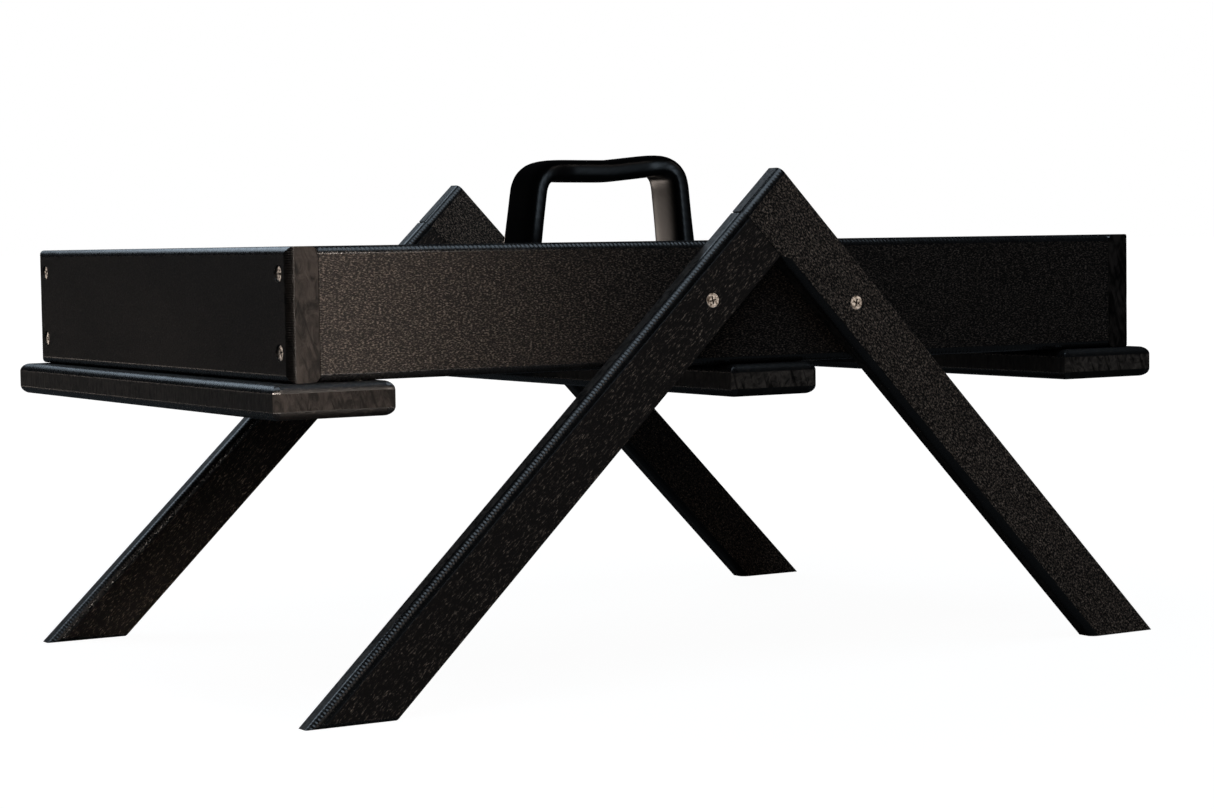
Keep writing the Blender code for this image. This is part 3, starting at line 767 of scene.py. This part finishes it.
BOARD_PITCH, BOARD_CUT = 0.0029, 0.00034        # cutter marks: how far apart, and how deep
END_PITCH, END_CUT = 0.0026, 0.00012
CORNER_PITCH, CORNER_CUT = 0.0014, 0.00045
SLAT_PITCH, SLAT_CUT = 0.0030, 0.00028
LEG_PITCH, LEFT_CUT, RIGHT_CUT, TIP_CUT = 0.0023, 0.00034, 0.00020, 0.00026
FOOT_PITCH, FOOT_CUT = 0.004, 0.0001
SEAM_PITCH, FLOOR_PITCH = 0.005, 0.02   # slices only: these edges have no marks
MARK_SLANT = 0.006
FLOOR_EASE = 0.0008           # radius of the floor panel's upper edges
LEG_REACH = 0.462             # from the apex to past the ground
RIGHT_START, LEFT_START = -0.012, 0.030         # a leg is swept from here, then trimmed
FOOT_ROUND, FOOT_TAPER = 0.0036, 0.5
SEAM_ROUND = 0.0014
BUTT_END = LEG_WIDTH + 0.001  # the left leg covers the right leg's lower edge up to here
BUTT_SHARP = 0.94             # how nearly square the right leg's corner is while covered
BUTT_BEFORE, BUTT_AFTER = 0.003, 0.007          # where it starts and stops becoming round

axes = (X_AXIS, Z_AXIS, Y_AXIS)
for seed, (label, sheet) in enumerate((("front", front_sheet_painted_lit), ("rear", plain_sheet))):
    node = f"side_board_{label}"
    along, across, thick = spans(node, axes)
    outline = profile((across[0], thick[0]), (across[1], thick[1]), [BOARD_ROUND] * 4)
    bm = bar(Vector(), axes, along, outline, BOARD_PITCH, BOARD_CUT, seed, slant=MARK_SLANT)
    finish_piece(node + "_fine", bm, [node], looks(sheet))

axes = (Y_AXIS, Z_AXIS, X_AXIS)
for side, label in ((-1, "left"), (1, "right")):
    node = f"end_board_{label}"
    along, across, thick = spans(node, axes)
    outline = profile((across[0], thick[0]), (across[1], thick[1]), [BOARD_ROUND] * 4)
    bm = bar(Vector(), axes, along, outline, END_PITCH, END_CUT, 5 + side)
    tools = bmesh.new()
    outer = thick[0] if side < 0 else thick[1]
    for y, face in ((along[0], -Y_AXIS), (along[1], Y_AXIS)):
        start, end = Vector((outer, y, across[0])), Vector((outer, y, across[1]))
        router_bit(
            tools, start, end, X_AXIS * side, face, BOARD_ROUND, CORNER_PITCH, CORNER_CUT,
            9 + y, look=SAWN
        )
    recesses(tools, f"end_screws_{label}")
    finish_carved(node + "_fine", bm, tools, [node], looks(end_sheet, dark_edge))

axes = (Y_AXIS, X_AXIS, Z_AXIS)
for seed, label in enumerate(("left", "middle", "right")):
    node = f"slat_{label}"
    along, across, thick = spans(node, axes)

    def squeeze(s):
        """The slat's lowest and highest thickness: its ends are rounded as well."""
        near = SLAT_ROUND - min(s - along[0], along[1] - s, SLAT_ROUND)
        drop = SLAT_ROUND - math.sqrt(max(0.0, SLAT_ROUND ** 2 - near ** 2))
        return thick[0] + drop, thick[1] - drop

    outline = profile((across[0], thick[0]), (across[1], thick[1]), [SLAT_ROUND] * 4)
    bm = bar(
        Vector(), axes, along, outline, SLAT_PITCH, SLAT_CUT, 20 + seed, slant=MARK_SLANT,
        squeeze=squeeze
    )
    tools = bmesh.new()
    recesses(tools, f"slat_screws_{label}")
    ends = grain_look if label == "left" else slat_end
    finish_carved(node + "_fine", bm, tools, [node], looks(plain_sheet, end=ends))

axes = (X_AXIS, Y_AXIS, Z_AXIS)
along, across, thick = spans("floor_panel", axes)
radii = [FLOOR_EASE, FLOOR_EASE, 0, 0]
outline = profile((across[0], thick[0]), (across[1], thick[1]), radii)
bm = bar(Vector(), axes, along, outline, FLOOR_PITCH, 0.0, 31)
tools = bmesh.new()
recesses(tools, "floor_screws")
finish_carved("floor_panel_fine", bm, tools, ["floor_panel"], looks(plain_sheet))


def butt_fade(s):
    """How far the right leg's lower corner is sharpened, where the left leg covers it."""
    return BUTT_SHARP * (1 - ease(s, BUTT_END - BUTT_BEFORE, BUTT_END + BUTT_AFTER))


def add_right_leg(label, near, far, row):
    """The leg that runs to the tip, rounded over there and along its free lower edge."""
    axes = (RIGHT_WAY, RIGHT_OUT, Y_AXIS)
    outline = profile((-LEG_WIDTH, near), (0, far), [0, 0, LEG_ROUND, 0])
    reach = (RIGHT_START, LEG_REACH)
    bm = bar(APEX, axes, reach, outline, LEG_PITCH, RIGHT_CUT, row, fade=(butt_fade, 2))
    trim(bm, Vector(), -Z_AXIS)
    trim(bm, APEX, LEFT_OUT, SAWN)
    tools = bmesh.new()
    tip = Vector((APEX.x, near, APEX.z))
    router_bit(
        tools, tip, tip - RIGHT_OUT * LEG_WIDTH, LEFT_OUT, -Y_AXIS, LEG_ROUND, LEG_PITCH,
        TIP_CUT, row
    )
    recesses(tools, f"leg_screws_{label}", [1])
    recesses(tools, f"apex_screws_{label}")
    node = f"leg_{label}_right"
    finish_carved(node + "_fine", bm, tools, [node], looks(leg_sheet_painted_lit, leg_edge))


def add_left_leg(label, near, far, row):
    """The leg that butts on the right one, rounded over along its upper edge."""
    axes = (LEFT_WAY, LEFT_OUT, Y_AXIS)
    outline = profile((-LEG_WIDTH, near), (0, far), [0, 0, 0, LEG_ROUND], shoulder=True)
    bm = bar(APEX, axes, (LEFT_START, LEG_REACH), outline, LEG_PITCH, LEFT_CUT, row + 7)
    trim(bm, Vector(), -Z_AXIS)
    trim(bm, APEX - (LEG_WIDTH + GAP) * RIGHT_OUT, RIGHT_OUT)
    tools = bmesh.new()
    foot = APEX + LEFT_WAY * (APEX.z / math.sin(SLOPE_LEFT))
    start = Vector((foot.x, near, 0))
    across_foot = Vector((LEG_WIDTH / math.sin(SLOPE_LEFT), 0, 0))
    router_bit(
        tools, start, start + across_foot, -Z_AXIS, -Y_AXIS, FOOT_ROUND, FOOT_PITCH, FOOT_CUT,
        row, FOOT_TAPER
    )
    seam = APEX + LEFT_WAY * (LEG_WIDTH + GAP) / math.sin(SLOPE_LEFT + SLOPE_RIGHT)
    start, end = Vector((seam.x, near, seam.z)), Vector((seam.x, far, seam.z))
    router_bit(tools, start, end, LEFT_OUT, -LEFT_WAY, SEAM_ROUND, SEAM_PITCH, 0.0, row)
    recesses(tools, f"leg_screws_{label}", [0])
    recesses(tools, f"apex_screws_{label}")
    node = f"leg_{label}_left"
    finish_carved(node + "_fine", bm, tools, [node], looks(leg_sheet_painted_shade, leg_edge))


for label, row in (("front", 40), ("rear", 60)):
    low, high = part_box(f"leg_{label}_left")
    near, far = Vector(low).y, Vector(high).y
    add_right_leg(label, near, far, row)
    add_left_leg(label, near, far, row)

# ---- screws -------------------------------------------------------------------------
SCREW_SIDES = 48
RIM_FALL, RIM_HEIGHT = 0.00016, 0.0003  # how far a head's rim curves down, and the whole rim
TAPER, POINT = 0.9, 0.3       # the shank's end and point, as shares of its radius
CROSS_REACH, CROSS_WIDTH = 1.22, 0.25   # the cross at its mouth, as shares of the head's radius
CROSS_FOOT, CROSS_ROOT = 0.42, 0.13     # and at its bottom
CROSS_DEPTH, CROSS_RISE = 0.55, 0.15    # its depth, and how far its cutter stands proud
FIRST_TWIST, NEXT_TWIST, ROW_TWIST = 0.4, 1.1, 0.7      # radians each screw is turned by


def screw_mesh(name, head, shank, length):
    """A countersunk cross-head screw, its head face at Z = 0."""
    bm = bmesh.new()
    outline = [
        (0, 0), (0.55 * head, 0), (0.90 * head, 0), (0.97 * head, -0.00006), (head, -RIM_FALL),
        (head, -RIM_HEIGHT), (shank, -RIM_HEIGHT - (head - shank)),
        (TAPER * shank, 2 * shank - length), (POINT * shank, -length), (0, -length)
    ]
    turned_mesh(bm, outline, SCREW_SIDES)
    body = plain_object(name, bm)
    cross = bmesh.new()
    for turn in (0, 90):
        arm = bmesh.ops.create_cube(cross, size=1.0)["verts"]
        for vert in arm:
            deep = vert.co.z < 0
            vert.co.x *= head * (CROSS_FOOT if deep else CROSS_REACH)
            vert.co.y *= head * (CROSS_ROOT if deep else CROSS_WIDTH)
            vert.co.z = -CROSS_DEPTH * head if deep else CROSS_RISE * head
        spin = Matrix.Rotation(math.radians(turn), 3, "Z")
        bmesh.ops.rotate(cross, verts=arm, matrix=spin)
    cutter = plain_object(name + "_cross", cross)
    cut = body.modifiers.new("cross", "BOOLEAN")
    cut.object = cutter
    cut.use_self = True
    graph = bpy.context.evaluated_depsgraph_get()
    made = bpy.data.meshes.new_from_object(body.evaluated_get(graph))
    for scrap in (body, cutter):
        bpy.data.objects.remove(scrap)
    return made


steel = stainless()
for row, (name, kind, out, nodes) in enumerate(screw_rows):
    head, shank = (SMALL_HEAD, SMALL_SHANK) if kind == "floor" else (HEAD, SHANK)
    master = screw_mesh(name + "_master", head, shank, LENGTH[kind])
    bm = bmesh.new()
    for index, node in enumerate(nodes):
        before = len(bm.verts)
        bm.from_mesh(master)
        bm.verts.ensure_lookup_table()
        turn = FIRST_TWIST + NEXT_TWIST * index + ROW_TWIST * row
        twist = Matrix.Rotation(turn, 4, "Z")
        aim = out.to_track_quat("Z", "Y").to_matrix().to_4x4()
        place = Matrix.Translation(head_spot(node, out)) @ aim @ twist
        bmesh.ops.transform(bm, matrix=place, verts=bm.verts[before:])
    finish_piece(name + "_fine", bm, nodes, [steel], 28)
for light, wanted in ((screw_light, "leg"), (end_light, "end")):
    light_only(light, [name + "_fine" for name, kind, out, nodes in screw_rows if kind == wanted])
for node in ("handle_screw_1", "handle_screw_2"):
    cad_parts[node].data.materials[0] = steel

# ---- handle -------------------------------------------------------------------------
SAME_PLACE = 2e-6             # corners of the CAD mesh this close are one
bm = bmesh.new()
bm.from_mesh(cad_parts["carry_handle"].data)
bmesh.ops.remove_doubles(bm, verts=bm.verts, dist=SAME_PLACE)
base = min(vert.co.z for vert in bm.verts)
crease = bm.edges.layers.float.new("crease_edge")
for edge in bm.edges:
    if max(vert.co.z for vert in edge.verts) < base + FLAT:
        edge[crease] = 1.0      # the feet stay flat
handle = finish_piece(
    "carry_handle_fine", bm, ["carry_handle"], [handle_plastic()], 50
)
keep_from(key, [handle.name, "leg_front_left_fine"])
for light in (top, over, left, side_light, fill_light):
    keep_from(light, [handle.name])
light_only(ripple, ["end_board_left_fine"])
for light in (glint, grip, inner):
    light_only(light, [handle.name])
smooth = handle.modifiers.new("smooth", "SUBSURF")
smooth.levels = 2
smooth.render_levels = 2
handle.modifiers.move(len(handle.modifiers) - 1, 0)
